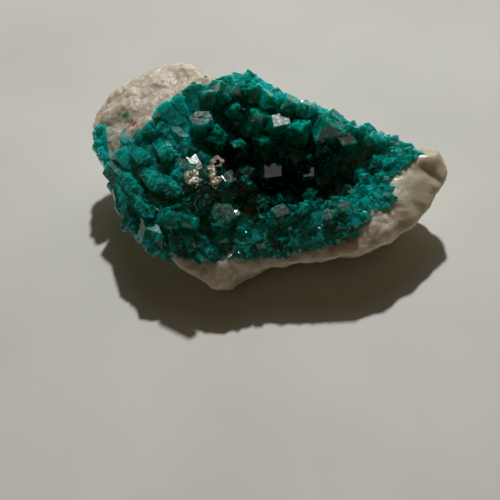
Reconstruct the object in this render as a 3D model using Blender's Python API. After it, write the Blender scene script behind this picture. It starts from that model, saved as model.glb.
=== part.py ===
"""A crust of dioptase crystals lining a hollow in a loose piece of calcite.

The shapes are worked out in millimetres and each finished mesh is turned to metres.
+X is to the viewer's right, +Y is away from the viewer and +Z is up. The origin is the
middle of the outline, on the surface that the stone rests on.
"""
import math
import random

import bmesh
import bpy
from mathutils import Matrix, Vector, noise

METRES_PER_MM = 0.001
SEED = 11
# Brings the middle of the finished outline, at the resting face, onto the origin
TO_ORIGIN = (0.2, -0.3, -0.02)

# Outline of the stone, anticlockwise from the glassy tip. Each row is
# x, y and height of the rim, then, as shares of the way out from the hollow's middle,
# the reach of the resting face and the place of the crest, then the crest's rise over the rim
RIM = [
    (30.6, -8.8, 11.0, 0.55, 0.62, 2.5),
    (30.1, -5.8, 11.7, 0.58, 0.65, 2.3),
    (24.5, -4.5, 12.4, 0.62, 0.78, 1.0),
    (21.5, -2.5, 13.1, 0.70, 0.82, 0.7),
    (17.0, -1.0, 14.1, 0.76, 0.85, 0.6),
    (14.0, 1.5, 15.1, 0.84, 0.85, 0.6),
    (10.0, 5.0, 16.0, 0.88, 0.85, 0.6),
    (6.0, 7.0, 16.5, 0.90, 0.85, 0.6),
    (2.5, 11.0, 17.0, 0.88, 0.85, 0.6),
    (-0.5, 14.0, 17.5, 0.84, 0.84, 0.7),
    (-5.0, 15.5, 16.6, 0.80, 0.80, 1.0),
    (-8.0, 17.5, 16.4, 0.76, 0.76, 1.3),
    (-10.4, 20.4, 16.8, 0.70, 0.72, 1.5),
    (-13.2, 23.2, 16.5, 0.64, 0.68, 2.0),
    (-18.6, 22.2, 15.5, 0.62, 0.62, 2.5),
    (-26.3, 19.4, 14.0, 0.58, 0.55, 3.0),
    (-30.0, 17.8, 12.8, 0.56, 0.54, 3.5),
    (-30.8, 14.2, 11.2, 0.56, 0.54, 4.5),
    (-28.8, 9.5, 11.0, 0.56, 0.52, 4.0),
    (-26.1, 3.0, 10.5, 0.58, 0.52, 3.5),
    (-25.4, -3.4, 10.0, 0.58, 0.52, 3.5),
    (-23.4, -10.7, 9.0, 0.60, 0.50, 3.5),
    (-20.9, -13.6, 8.0, 0.60, 0.50, 4.0),
    (-15.7, -18.5, 6.0, 0.58, 0.52, 5.5),
    (-13.2, -20.8, 5.0, 0.56, 0.54, 6.5),
    (-12.0, -23.4, 4.3, 0.52, 0.54, 7.0),
    (-8.5, -21.5, 5.5, 0.54, 0.56, 6.0),
    (-5.5, -20.5, 6.0, 0.56, 0.58, 5.5),
    (3.5, -21.5, 7.0, 0.54, 0.60, 4.5),
    (13.0, -21.4, 8.0, 0.52, 0.62, 4.0),
    (18.2, -20.4, 7.8, 0.54, 0.64, 4.0),
    (22.4, -17.8, 8.0, 0.58, 0.66, 4.0),
    (25.6, -14.0, 8.8, 0.58, 0.66, 3.5),
]
HOLLOW_MIDDLE = (3.0, -4.5)
HOLLOW_FLOOR = 7.5
FLOOR_SHARE = 0.22
BELLY_HEIGHT = 0.5
BELLY_SHARE = 0.65
CURVE_STEPS = 8
SLOPE_STEP = 0.8
# How deep the calcite lies under the crust, in radii of the crystals there, and the distance
# from the crust's edge over which it reaches that depth
BED_IN_RADII = 1.1
BED_REACH = 3.0

# Calcite: the mesh's spacing before it is thinned to facets, and the relief of its grains
SPOKES = 150
TOP_RINGS = 30
SIDE_RINGS = 12
REST_SHARES = (0.35, 0.7, 1.0)
GRAIN_SIZE = 3.4
GRAIN_RELIEF = 1.1
GRAIN_LEVEL = 0.45
LUMP_SIZE = 9.0
LUMP_RELIEF = 0.9
COVERED_GRAIN = 0.15
COVERED_LUMP = 0.3
COVERED_DEPTH = 1.0
FOOT_FADE = 2.0
CALCITE_FACETS = 1600
REST_TRIM = 0.02
CUT_MERGE = 1e-6
# The exact solver loses faces where this many crystals cross, so the crust takes the other one
CROWDED_SOLVER = "MANIFOLD"

# Cleavage faces on the glassy tip: the middle of each, the direction that it faces, its width
CLEAVAGE = [
    ((27.2, -6.0, 12.8), (0.10, 0.25, 0.96), 6.0),
    ((30.4, -8.8, 8.5), (0.92, 0.10, 0.36), 9.0),
    ((25.5, -13.0, 10.6), (0.45, -0.30, 0.85), 7.0),
    ((24.2, -15.2, 5.5), (0.60, -0.75, -0.28), 9.0),
]

# Dioptase: the line where the green crust ends, its skin over the calcite and the clearance
CRUST_EDGE = [
    (-27.0, 3.5), (-25.5, 3.5), (-24.0, 6.0), (-22.5, 6.5), (-19.5, 8.0), (-17.5, 9.5),
    (-15.5, 10.5), (-14.0, 11.5), (-12.0, 12.5), (-11.0, 14.0), (-9.0, 14.5), (-8.0, 15.5),
    (-5.2, 16.2), (-0.5, 15.2), (3.2, 11.4), (6.6, 7.2), (10.2, 5.2), (14.4, 1.7),
    (17.2, -1.0), (21.5, -2.6), (24.7, -5.0), (24.5, -8.0), (22.0, -9.3), (20.3, -10.5),
    (19.0, -12.0), (18.8, -14.5), (19.0, -15.5), (17.5, -16.5), (15.0, -16.0), (15.0, -18.0),
    (12.5, -19.0), (12.0, -20.0), (7.0, -20.5), (0.0, -20.5), (-4.5, -19.5), (-7.0, -19.7),
    (-9.0, -20.2), (-13.6, -18.3), (-17.2, -16.4), (-21.0, -13.7), (-23.9, -10.8),
    (-25.1, -7.4), (-25.9, -3.5), (-26.6, 1.0),
]
SIDE_PATCH_EDGE = [
    (-29.8, 12.2), (-28.2, 12.4), (-27.0, 11.6), (-27.0, 9.4), (-26.9, 6.2), (-28.2, 5.6),
    (-29.4, 8.6),
]
SKIN = 0.9
SKIN_SINK = 1.2
STEEPEST_SKIN = 0.5
SKIN_SPOKES = 44
SKIN_RINGS = 7
SKIN_REACH = 1.06
CLEARANCE = 0.35
ROOT_SINK = 1.4
FLAT_WITHIN = 0.3
OUTLINE_BOTTOM = -5.0
OUTLINE_HEIGHT = 40.0

# A dioptase crystal is a six-sided prism under three rhombic end faces. This is how far
# an end face drops for each step out from the axis
END_FACE_SLOPE = 1.233
SHORTEST_IN_RADII = 2.3
FACED_ROOT = 0.6
SHALLOWEST_RISE = 0.3
SPIN_STEP = 0.9
# A crystal whose axis rises less than this lies with one of its long edges upward
LYING_BELOW = 30

# Crystals told apart by one end face. Each row is the middle of the face, the crystal's
# radius, the bearing from the face's middle to the tip, and the bearing and angle by which
# the face leans off level
FACED_CRYSTALS = [
    (3.5, 3.1, 16.6, 2.4, 318, 260, 3),
    (0.9, -2.4, 10.3, 2.5, 310, 270, 9),
    (0.9, -14.9, 13.0, 1.9, 65, 280, 8),
    (-4.1, -1.8, 10.3, 2.4, 275, 230, 9),
    (6.8, -4.3, 10.4, 1.6, 310, 260, 8),
    (5.4, -2.2, 12.5, 2.2, 240, 200, 14),
    (6.8, -8.4, 9.8, 1.5, 290, 60, 20),
    (11.1, -16.1, 13.2, 1.5, 100, 270, 8),
    (-2.2, -8.9, 9.8, 1.7, 170, 270, 12),
    (13.7, -2.9, 15.6, 2.2, 240, 300, 14),
    (8.3, -17.2, 12.6, 1.3, 120, 270, 9),
    (-14.6, -14.6, 11.3, 1.7, 110, 240, 10),
    (-16.8, -14.3, 10.8, 1.3, 80, 250, 12),
    (-20.0, -13.8, 10.2, 1.4, 60, 230, 30),
    (4.6, -14.6, 12.6, 1.4, 20, 250, 16),
]

# Crystals told apart by their length. Each row is the tip, the radius, the length, and the
# bearing and rise of the axis
LONG_CRYSTALS = [
    (-0.9, 4.4, 17.6, 3.0, 8.0, 250, 62),
    (6.7, -0.7, 17.3, 2.5, 7.5, 280, 55),
    (10.9, -1.6, 18.4, 3.3, 8.5, 255, 66),
    (0.4, 0.4, 14.3, 2.6, 6.5, 268, 47),
    (10.2, -4.6, 14.9, 1.9, 7.0, 275, 46),
    (-4.9, 0.9, 13.6, 1.8, 6.5, 250, 45),
    (-8.7, 2.0, 16.0, 2.6, 7.0, 262, 50),
    (-9.2, -10.4, 13.8, 2.6, 8.5, 12, 18),
    (-2.2, -6.6, 11.4, 2.2, 8.5, 5, 14),
    (-12.4, -15.8, 13.2, 1.2, 7.0, 322, 3),
    (-1.3, 8.4, 20.0, 2.2, 6.0, 230, 62),
    (-6.2, 9.6, 19.6, 2.3, 6.0, 260, 58),
    (-9.4, 9.2, 19.8, 2.1, 6.0, 215, 60),
    (-3.8, 7.2, 17.2, 2.2, 6.0, 275, 50),
    (2.2, 6.8, 19.0, 2.1, 6.0, 290, 60),
    (-22.0, -6.8, 12.4, 1.5, 8.0, 290, 10),
    (-19.9, -11.2, 12.0, 1.5, 8.0, 300, 8),
    (-18.4, -7.6, 13.8, 1.6, 8.0, 288, 12),
    (-15.4, -9.6, 13.8, 1.7, 8.0, 292, 12),
    (-16.0, -1.9, 15.4, 1.6, 7.5, 285, 12),
    (-20.2, -0.6, 14.2, 1.5, 7.5, 292, 10),
    (-12.4, 0.2, 15.8, 2.1, 7.0, 300, 50),
    (-16.2, 4.0, 16.2, 1.5, 7.0, 285, 14),
    (5.2, 5.2, 19.1, 1.9, 5.5, 265, 66),
    (8.4, 3.2, 18.8, 1.8, 5.5, 300, 62),
    (12.2, 0.8, 17.8, 1.8, 5.5, 270, 64),
    (15.4, -1.9, 16.7, 1.6, 5.0, 290, 60),
    (17.9, -3.6, 15.9, 1.4, 5.0, 250, 62),
]

# Crystals broken off flat. The rows are as for the long ones, with the flat's middle first
FLAT_CRYSTALS = [
    (-10.0, 5.4, 17.6, 2.1, 6.0, 60, 85),
    (-8.8, -14.0, 13.2, 2.5, 5.0, 250, 82),
]

# Crystal radius over the crust: x, y and the radius that is usual there
USUAL_RADIUS = [
    (0.0, 4.0, 2.3), (9.0, 0.0, 2.4), (-8.0, 5.0, 2.1), (3.0, -5.0, 2.0), (-8.0, -9.0, 2.1),
    (-18.0, -2.0, 2.0), (-22.0, 1.0, 1.7), (-14.0, 7.0, 1.6), (-6.0, 13.0, 1.7), (2.0, 10.0, 1.5),
    (12.0, 3.0, 1.5), (18.0, -3.0, 1.3), (22.0, -6.0, 1.2), (17.0, -11.0, 1.4), (11.0, -8.0, 1.8),
    (13.0, -16.0, 1.4), (4.0, -18.0, 1.5), (-5.0, -17.5, 1.5), (-13.0, -17.5, 1.6),
    (-20.0, -12.0, 1.7), (-24.0, -6.0, 1.6),
]
BLEND_SOFTNESS = 1.0
FILL_CRYSTALS = 66
FILL_TRIES = 9000
FILL_SPACING = 0.72
FILL_MARGIN = 0.6
FILL_SIZES = (0.75, 1.2)
FILL_TILTS = (6.0, 34.0)
FILL_STANDS = (0.5, 1.5)
PATCH_CRYSTALS = 7
PATCH_RADIUS = 0.9
PATCH_SIZES = (0.8, 1.25)
PATCH_LENGTH = 5.4
PATCH_SPREAD = 0.6
PATCH_LEAN = 0.4

# Bits of calcite perched on the crust. Each is a cluster of lumps, given by the middle, the
# half lengths and the turn of each lump
PERCHED = [
    ("perched_calcite_left", [
        ((-11.8, -3.5, 14.9), (1.05, 0.80, 0.65), 20),
        ((-12.4, -4.6, 14.5), (0.95, 1.10, 0.65), 0),
        ((-13.4, -4.7, 14.7), (0.90, 1.05, 0.75), -15),
        ((-12.6, -6.0, 14.2), (1.60, 0.80, 0.55), -10),
    ]),
    ("perched_calcite_right", [
        ((-8.9, -5.6, 13.2), (1.30, 0.95, 0.65), 5),
        ((-9.3, -4.3, 13.7), (0.70, 1.40, 0.60), -14),
        ((-9.6, -2.8, 14.1), (0.70, 0.85, 0.55), 0),
        ((-9.0, -1.8, 14.5), (0.60, 0.80, 0.50), -30),
        ((-8.2, -1.2, 14.7), (0.90, 0.50, 0.45), 0),
        ((-7.6, -1.9, 14.5), (0.50, 0.80, 0.45), 0),
        ((-8.0, -2.7, 14.1), (0.80, 0.50, 0.45), 0),
    ]),
]
PERCHED_DETAIL = 1
PERCHED_RELIEF = 0.35
PERCHED_LUMPS = 1.4
PERCHED_LEVEL = 0.6

# Plain looks of the two minerals
CALCITE_COLOUR = (0.62, 0.55, 0.46)
CALCITE_ROUGHNESS = 0.5
CALCITE_TRANSMISSION = 0.2
DIOPTASE_COLOUR = (0.0, 0.20, 0.13)
DIOPTASE_ROUGHNESS = 0.12
DIOPTASE_TRANSMISSION = 0.8


def closed_curve(rows):
    """A smooth closed curve through the rows, with every column eased in the same way."""
    points = []
    for index in range(len(rows)):
        before = rows[index - 1]
        here = rows[index]
        after = rows[(index + 1) % len(rows)]
        beyond = rows[(index + 2) % len(rows)]
        for step in range(CURVE_STEPS):
            t = step / CURVE_STEPS
            point = []
            for a, b, c, d in zip(before, here, after, beyond):
                bend = (2 * a - 5 * b + 4 * c - d) * t * t + (3 * b - a - 3 * c + d) * t ** 3
                point.append(0.5 * (2 * b + (c - a) * t + bend))
            points.append(point)
    return points


def bearing_table(rows):
    """The outline as bearing and distance from the hollow's middle, in order of bearing."""
    table = []
    for x, y, *rest in closed_curve(rows):
        dx = x - HOLLOW_MIDDLE[0]
        dy = y - HOLLOW_MIDDLE[1]
        table.append((math.atan2(dy, dx) % math.tau, math.hypot(dx, dy), *rest))
    table.sort()
    first = table[0]
    last = table[-1]
    table.insert(0, (last[0] - math.tau, *last[1:]))
    table.append((first[0] + math.tau, *first[1:]))
    return table


RIM_TABLE = bearing_table(RIM)


def rim_at(bearing):
    """Distance, height, resting share, crest share and crest rise of the rim at a bearing."""
    bearing %= math.tau
    low = 0
    high = len(RIM_TABLE) - 1
    while high - low > 1:
        middle = (low + high) // 2
        if RIM_TABLE[middle][0] <= bearing:
            low = middle
        else:
            high = middle
    a = RIM_TABLE[low]
    b = RIM_TABLE[high]
    t = (bearing - a[0]) / (b[0] - a[0])
    return [a[k] + (b[k] - a[k]) * t for k in range(1, 6)]


def form_height(x, y):
    """Height of the whole form's upper side: flat floor, wall up to the crest, outer slope."""
    dx = x - HOLLOW_MIDDLE[0]
    dy = y - HOLLOW_MIDDLE[1]
    reach, rim_height, _, crest_share, rise = rim_at(math.atan2(dy, dx))
    share = math.hypot(dx, dy) / reach
    crest = rim_height + rise
    if share > crest_share:
        out = (share - crest_share) / (1 - crest_share)
        return crest - rise * out * out
    if share < FLOOR_SHARE:
        return HOLLOW_FLOOR
    up = (share - FLOOR_SHARE) / (crest_share - FLOOR_SHARE)
    return HOLLOW_FLOOR + (crest - HOLLOW_FLOOR) * up * up * (3 - 2 * up)


def top_normal(x, y):
    """Direction that the upper surface faces."""
    step = SLOPE_STEP
    slope_x = (top_height(x + step, y) - top_height(x - step, y)) / (2 * step)
    slope_y = (top_height(x, y + step) - top_height(x, y - step)) / (2 * step)
    return Vector((-slope_x, -slope_y, 1.0)).normalized()


def top_height(x, y):
    """Height of the calcite's upper surface, which lies deeper under the larger crystals."""
    height = form_height(x, y)
    if not inside(x, y, CRUST_EDGE):
        return height
    margin = min(1.0, edge_distance(x, y, CRUST_EDGE) / BED_REACH)
    return height - BED_IN_RADII * usual_radius(x, y) * margin


def inside(x, y, outline):
    """Whether a point lies inside an outline."""
    result = False
    for index, (bx, by) in enumerate(outline):
        ax, ay = outline[index - 1]
        if (ay > y) != (by > y) and x < ax + (y - ay) * (bx - ax) / (by - ay):
            result = not result
    return result


def edge_distance(x, y, outline):
    """Distance from a point to the nearest side of an outline."""
    here = Vector((x, y))
    nearest = math.inf
    for index, corner in enumerate(outline):
        start = Vector(outline[index - 1])
        side = Vector(corner) - start
        along = max(0.0, min(1.0, (here - start).dot(side) / side.length_squared))
        nearest = min(nearest, (here - start - side * along).length)
    return nearest


def usual_radius(x, y):
    """Radius of the crystals around a point, blended from the nearest given values."""
    total = 0.0
    weight = 0.0
    for ax, ay, radius in USUAL_RADIUS:
        near = 1 / ((x - ax) ** 2 + (y - ay) ** 2 + BLEND_SOFTNESS) ** 2
        total += near * radius
        weight += near
    return total / weight


def new_object(name, shape):
    """Puts a bmesh in the scene as an object and frees it."""
    mesh = bpy.data.meshes.new(name)
    shape.to_mesh(mesh)
    shape.free()
    made = bpy.data.objects.new(name, mesh)
    bpy.context.scene.collection.objects.link(made)
    return made


def settle(made):
    """Replaces an object's mesh by what its modifiers make of it."""
    graph = bpy.context.evaluated_depsgraph_get()
    graph.update()
    result = bpy.data.meshes.new_from_object(made.evaluated_get(graph))
    made.modifiers.clear()
    made.data = result


def combine(target, other, operation, solver="EXACT"):
    """Joins, cuts or trims one object by another, which is then removed."""
    step = target.modifiers.new(operation.lower(), "BOOLEAN")
    step.solver = solver
    step.operation = operation
    step.object = other
    settle(target)
    bpy.data.objects.remove(other)


def keep_largest_body(made):
    """Deletes every loose piece but the one with the most faces."""
    shape = bmesh.new()
    shape.from_mesh(made.data)
    left = set(shape.faces)
    bodies = []
    while left:
        stack = [left.pop()]
        body = []
        while stack:
            face = stack.pop()
            body.append(face)
            for edge in face.edges:
                for neighbour in edge.link_faces:
                    if neighbour in left:
                        left.remove(neighbour)
                        stack.append(neighbour)
        bodies.append(body)
    bodies.sort(key=len)
    for body in bodies[:-1]:
        bmesh.ops.delete(shape, geom=body, context="FACES")
    stray = [v for v in shape.verts if not v.link_faces]
    bmesh.ops.delete(shape, geom=stray, context="VERTS")
    shape.to_mesh(made.data)
    shape.free()


def ring(shape, spokes, place):
    """One closed loop of points. place gives the share of the way out and the height."""
    points = []
    for spoke in range(spokes):
        bearing = math.tau * spoke / spokes
        row = rim_at(bearing)
        share, height = place(row)
        x = HOLLOW_MIDDLE[0] + row[0] * share * math.cos(bearing)
        y = HOLLOW_MIDDLE[1] + row[0] * share * math.sin(bearing)
        if height is None:
            height = top_height(x, y)
        points.append(shape.verts.new((x, y, height)))
    return points


def loft(shape, rings):
    """Skins a stack of loops and closes both of its ends with fans."""
    count = len(rings[0])
    for lower, upper in zip(rings, rings[1:]):
        for k in range(count):
            after = (k + 1) % count
            shape.faces.new((lower[k], lower[after], upper[after], upper[k]))
    for loop, flip in ((rings[0], True), (rings[-1], False)):
        middle = Vector((0, 0, 0))
        for point in loop:
            middle += point.co / count
        hub = shape.verts.new(middle)
        for k in range(count):
            pair = (loop[k], loop[(k + 1) % count])
            if flip:
                pair = pair[::-1]
            shape.faces.new((*pair, hub))


def flank(row, up):
    """Share of the way out and height of the flank, which bulges between foot and rim."""
    _, rim_height, rest_share, _, _ = row
    if up < BELLY_HEIGHT:
        out = BELLY_SHARE * up / BELLY_HEIGHT
    else:
        out = BELLY_SHARE + (1 - BELLY_SHARE) * (up - BELLY_HEIGHT) / (1 - BELLY_HEIGHT)
    return rest_share + (1 - rest_share) * out, rim_height * up


def calcite_body(name):
    """The loose piece of calcite: resting face, undercut flanks, rim, crest and hollow."""
    shape = bmesh.new()
    rings = [ring(shape, SPOKES, lambda row: (row[2] * share, 0.0)) for share in REST_SHARES]
    for step in range(1, SIDE_RINGS):
        rings.append(ring(shape, SPOKES, lambda row: flank(row, step / SIDE_RINGS)))
    for step in range(TOP_RINGS):
        rings.append(ring(shape, SPOKES, lambda row: (1 - step / TOP_RINGS, None)))
    loft(shape, rings)
    roughen(shape)
    made = new_object(name, shape)
    thin = made.modifiers.new("facets", "DECIMATE")
    thin.ratio = CALCITE_FACETS / (2 * SPOKES * len(rings))
    settle(made)
    for place, facing, width in CLEAVAGE:
        combine(made, cleavage_block(place, facing, width), "DIFFERENCE")
    trim_foot(made)
    keep_largest_body(made)
    return made


def cleavage_block(place, facing, width):
    """A block whose lower face lies on a cleavage face."""
    shape = bmesh.new()
    bmesh.ops.create_cube(shape, size=width)
    bmesh.ops.translate(shape, verts=shape.verts, vec=(0, 0, width / 2))
    turn = Vector(facing).to_track_quat("Z", "Y").to_matrix()
    bmesh.ops.rotate(shape, verts=shape.verts, matrix=turn)
    bmesh.ops.translate(shape, verts=shape.verts, vec=place)
    return new_object("cleavage block", shape)


def roughen(shape):
    """Lumps and grains all over, fading out under the crust and towards the resting face."""
    shape.normal_update()
    moves = []
    for point in shape.verts:
        place = point.co
        lump = noise.noise(place / LUMP_SIZE) * LUMP_RELIEF
        distances, _ = noise.voronoi(place / GRAIN_SIZE)
        grain = (GRAIN_LEVEL - distances[0]) * GRAIN_RELIEF
        below = top_height(place.x, place.y) - place.z
        if below < COVERED_DEPTH and inside(place.x, place.y, CRUST_EDGE):
            grain *= COVERED_GRAIN
            lump *= COVERED_LUMP
        foot = max(0.0, min(1.0, place.z / FOOT_FADE))
        moves.append(point.normal * (lump + grain) * foot)
    for point, move in zip(shape.verts, moves):
        point.co += move


def trim_foot(made):
    """Slices the resting face flat and closes the cut with one face."""
    shape = bmesh.new()
    shape.from_mesh(made.data)
    cut = bmesh.ops.bisect_plane(
        shape,
        geom=shape.verts[:] + shape.edges[:] + shape.faces[:],
        plane_co=(0, 0, REST_TRIM),
        plane_no=(0, 0, -1),
        clear_outer=True,
        dist=CUT_MERGE,
    )
    edges = [item for item in cut["geom_cut"] if isinstance(item, bmesh.types.BMEdge)]
    bmesh.ops.holes_fill(shape, edges=edges, sides=0)
    shape.to_mesh(made.data)
    shape.free()


def crystal(radius, length, pointed=True):
    """An upright six-sided prism with its tip, or the middle of its flat end, at the origin."""
    shape = bmesh.new()
    bmesh.ops.create_cone(
        shape, cap_ends=True, segments=6, radius1=radius, radius2=radius, depth=length
    )
    bmesh.ops.translate(shape, verts=shape.verts, vec=(0, 0, -length / 2))
    shape.verts.ensure_lookup_table()
    start = math.atan2(shape.verts[0].co.y, shape.verts[0].co.x)
    for third in range(3 if pointed else 0):
        bearing = start + third * math.tau / 3
        facing = (END_FACE_SLOPE * math.cos(bearing), END_FACE_SLOPE * math.sin(bearing), 1)
        geometry = shape.verts[:] + shape.edges[:] + shape.faces[:]
        cut = bmesh.ops.bisect_plane(
            shape,
            geom=geometry,
            plane_co=(0, 0, 0),
            plane_no=facing,
            clear_outer=True,
            dist=CUT_MERGE,
        )
        edges = [item for item in cut["geom_cut"] if isinstance(item, bmesh.types.BMEdge)]
        bmesh.ops.edgeloop_fill(shape, edges=edges)
    return shape, start


def add_crystal(crystals, tip, axis, radius, length, spin=0.0, toward=None, pointed=True):
    """Adds a crystal, set by its tip and axis, to the list. An end face looks toward a side."""
    one, start = crystal(radius, length, pointed)
    up = Vector(axis).normalized()
    if toward is None:
        toward = Matrix.Rotation(spin, 3, up) @ up.orthogonal()
    across = (Vector(toward) - up * up.dot(Vector(toward))).normalized()
    frame = Matrix((across, up.cross(across), up)).transposed()
    frame = frame @ Matrix.Rotation(-start, 3, "Z")
    place = Matrix.Translation(tip) @ frame.to_4x4()
    bmesh.ops.transform(one, matrix=place, verts=one.verts)
    mesh = bpy.data.meshes.new("crystal")
    one.to_mesh(mesh)
    one.free()
    middle = Vector(tip) - up * length / 2
    crystals.append((middle, math.hypot(length / 2, radius), mesh))


def direction(bearing, rise):
    """A unit vector from a bearing and an angle above level, in degrees."""
    flat = math.cos(math.radians(rise))
    turn = math.radians(bearing)
    return Vector((flat * math.cos(turn), flat * math.sin(turn), math.sin(math.radians(rise))))


def sorted_apart(crystals):
    """Groups of crystals in which none touches another."""
    groups = []
    for row in crystals:
        middle, reach, _ = row
        for group in groups:
            if all((middle - other).length > reach + size for other, size, _ in group):
                group.append(row)
                break
        else:
            groups.append([row])
    return groups


def add_faced_crystals(crystals):
    """Crystals whose end face is placed and turned, with the axis following from it."""
    cosine = 1 / math.hypot(1, END_FACE_SLOPE)
    sine = END_FACE_SLOPE * cosine
    for x, y, z, radius, to_tip, lean_bearing, lean in FACED_CRYSTALS:
        facing = direction(lean_bearing, 90 - lean)
        flat = direction(to_tip, 0)
        along = (flat - facing * facing.dot(flat)).normalized()
        axis = facing * cosine + along * sine
        half_face = radius / (2 * cosine)
        tip = Vector((x, y, z)) + along * half_face
        depth = (tip.z - top_height(x, y) - SKIN) / max(axis.z, SHALLOWEST_RISE)
        length = max(depth + FACED_ROOT, SHORTEST_IN_RADII * radius)
        add_crystal(crystals, tip, axis, radius, length, toward=facing)


def add_long_crystals(crystals):
    """Crystals placed by their tip and axis, pointed and flat-ended."""
    for index, (x, y, z, radius, length, bearing, rise) in enumerate(LONG_CRYSTALS):
        axis = direction(bearing, rise)
        toward = None
        if rise < LYING_BELOW:
            toward = Vector((0, 0, 1))
        add_crystal(crystals, (x, y, z), axis, radius, length, index * SPIN_STEP, toward)
    for x, y, z, radius, length, bearing, rise in FLAT_CRYSTALS:
        axis = direction(bearing, rise)
        add_crystal(crystals, (x, y, z), axis, radius, length, pointed=False)


def add_fill_crystals(crystals):
    """Seeded crystals over the rest of the crust, no closer than their own widths allow."""
    chance = random.Random(SEED)
    placed = FACED_CRYSTALS + LONG_CRYSTALS + FLAT_CRYSTALS
    taken = [(Vector((row[0], row[1], top_height(row[0], row[1]))), row[3]) for row in placed]
    low_x = min(x for x, y in CRUST_EDGE)
    high_x = max(x for x, y in CRUST_EDGE)
    low_y = min(y for x, y in CRUST_EDGE)
    high_y = max(y for x, y in CRUST_EDGE)
    made = 0
    for _ in range(FILL_TRIES):
        x = chance.uniform(low_x, high_x)
        y = chance.uniform(low_y, high_y)
        radius = usual_radius(x, y) * chance.uniform(*FILL_SIZES)
        if not inside(x, y, CRUST_EDGE):
            continue
        if edge_distance(x, y, CRUST_EDGE) < radius * FILL_MARGIN:
            continue
        seat = Vector((x, y, top_height(x, y)))
        if any((seat - spot).length < FILL_SPACING * (radius + size) for spot, size in taken):
            continue
        taken.append((seat, radius))
        facing = top_normal(x, y)
        tilt_angle = math.radians(chance.uniform(*FILL_TILTS))
        tilt = Matrix.Rotation(tilt_angle, 3, facing.orthogonal())
        turn = Matrix.Rotation(chance.uniform(0, math.tau), 3, facing)
        axis = turn @ tilt @ facing
        stand = form_height(x, y) - seat.z + chance.uniform(*FILL_STANDS)
        tip = seat + axis * stand
        spin = chance.uniform(0, math.tau)
        add_crystal(crystals, tip, axis, radius, stand + ROOT_SINK, spin=spin)
        made += 1
        if made == FILL_CRYSTALS:
            break


def patch_crystals():
    """The few small crystals of the separate patch low on the left side."""
    crystals = []
    chance = random.Random(SEED)
    middle_x = sum(x for x, y in SIDE_PATCH_EDGE) / len(SIDE_PATCH_EDGE)
    middle_y = sum(y for x, y in SIDE_PATCH_EDGE) / len(SIDE_PATCH_EDGE)
    for index in range(PATCH_CRYSTALS):
        along = (index + 0.5) / PATCH_CRYSTALS - 0.5
        x = middle_x + chance.uniform(-PATCH_SPREAD, PATCH_SPREAD)
        y = middle_y + along * PATCH_LENGTH
        radius = PATCH_RADIUS * chance.uniform(*PATCH_SIZES)
        lean_x = chance.uniform(-PATCH_LEAN, PATCH_LEAN)
        lean_y = chance.uniform(-PATCH_LEAN, PATCH_LEAN)
        axis = (top_normal(x, y) + Vector((lean_x, lean_y, 0))).normalized()
        tip = Vector((x, y, top_height(x, y))) + axis * (SKIN + radius)
        spin = chance.uniform(0, math.tau)
        add_crystal(crystals, tip, axis, radius, SKIN + radius + ROOT_SINK, spin=spin)
    return crystals


def skin_slab(name, outline):
    """A slab that follows the calcite's top inside an outline."""
    shape = bmesh.new()
    shares = [SKIN_REACH * (1 - step / SKIN_RINGS) for step in range(SKIN_RINGS)]
    under = [ring(shape, SKIN_SPOKES, lambda row: (share, None)) for share in shares]
    over = [ring(shape, SKIN_SPOKES, lambda row: (share, None)) for share in shares]
    for loops, lift in ((under, -SKIN_SINK), (over, SKIN)):
        for point in (point for loop in loops for point in loop):
            steepness = top_normal(point.co.x, point.co.y).z
            point.co.z += lift / max(steepness, STEEPEST_SKIN)
    loft(shape, under[::-1] + over)
    slab = new_object(name, shape)
    prism = bmesh.new()
    corners = [prism.verts.new((x, y, OUTLINE_BOTTOM)) for x, y in outline]
    floor = prism.faces.new(corners)
    raised = bmesh.ops.extrude_face_region(prism, geom=[floor])
    tops = [item for item in raised["geom"] if isinstance(item, bmesh.types.BMVert)]
    bmesh.ops.translate(prism, verts=tops, vec=(0, 0, OUTLINE_HEIGHT))
    bmesh.ops.recalc_face_normals(prism, faces=prism.faces)
    combine(slab, new_object("outline", prism), "INTERSECT")
    return slab


def swollen(piece):
    """A copy of a piece grown by the clearance, to cut its neighbour with."""
    shape = bmesh.new()
    shape.from_mesh(piece.data)
    shape.normal_update()
    for point in shape.verts:
        point.co += point.normal * CLEARANCE
    return new_object("clearance", shape)


def crust(name, outline, crystals, calcite):
    """Skin and crystals joined in one solid, held clear of the calcite."""
    made = skin_slab(name, outline)
    for group in sorted_apart(crystals):
        together = bmesh.new()
        for _, _, mesh in group:
            together.from_mesh(mesh)
            bpy.data.meshes.remove(mesh)
        combine(made, new_object("crystals", together), "UNION", CROWDED_SOLVER)
    combine(made, swollen(calcite), "DIFFERENCE", CROWDED_SOLVER)
    keep_largest_body(made)
    return made


def join_flat_faces(made):
    """Joins neighbouring faces that lie in one plane, which the cuts have split."""
    flat = made.modifiers.new("flat faces", "DECIMATE")
    flat.decimate_type = "DISSOLVE"
    flat.angle_limit = math.radians(FLAT_WITHIN)
    settle(made)


def lump(middle, half, turn):
    """One uneven, blocky lump of calcite."""
    shape = bmesh.new()
    bmesh.ops.create_icosphere(shape, subdivisions=PERCHED_DETAIL, radius=1.0)
    for point in shape.verts:
        distances, _ = noise.voronoi(point.co * PERCHED_LUMPS + Vector(middle))
        point.co *= 1 + (PERCHED_LEVEL - distances[0]) * PERCHED_RELIEF
    bmesh.ops.scale(shape, verts=shape.verts, vec=half)
    bmesh.ops.rotate(shape, verts=shape.verts, matrix=Matrix.Rotation(math.radians(turn), 3, "Z"))
    bmesh.ops.translate(shape, verts=shape.verts, vec=middle)
    return new_object("lump", shape)


def perched_bit(name, lumps):
    """A small grown-on cluster of lumps, joined in one piece."""
    made = lump(*lumps[0])
    made.name = name
    made.data.name = name
    for row in lumps[1:]:
        combine(made, lump(*row), "UNION")
    keep_largest_body(made)
    return made


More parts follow.
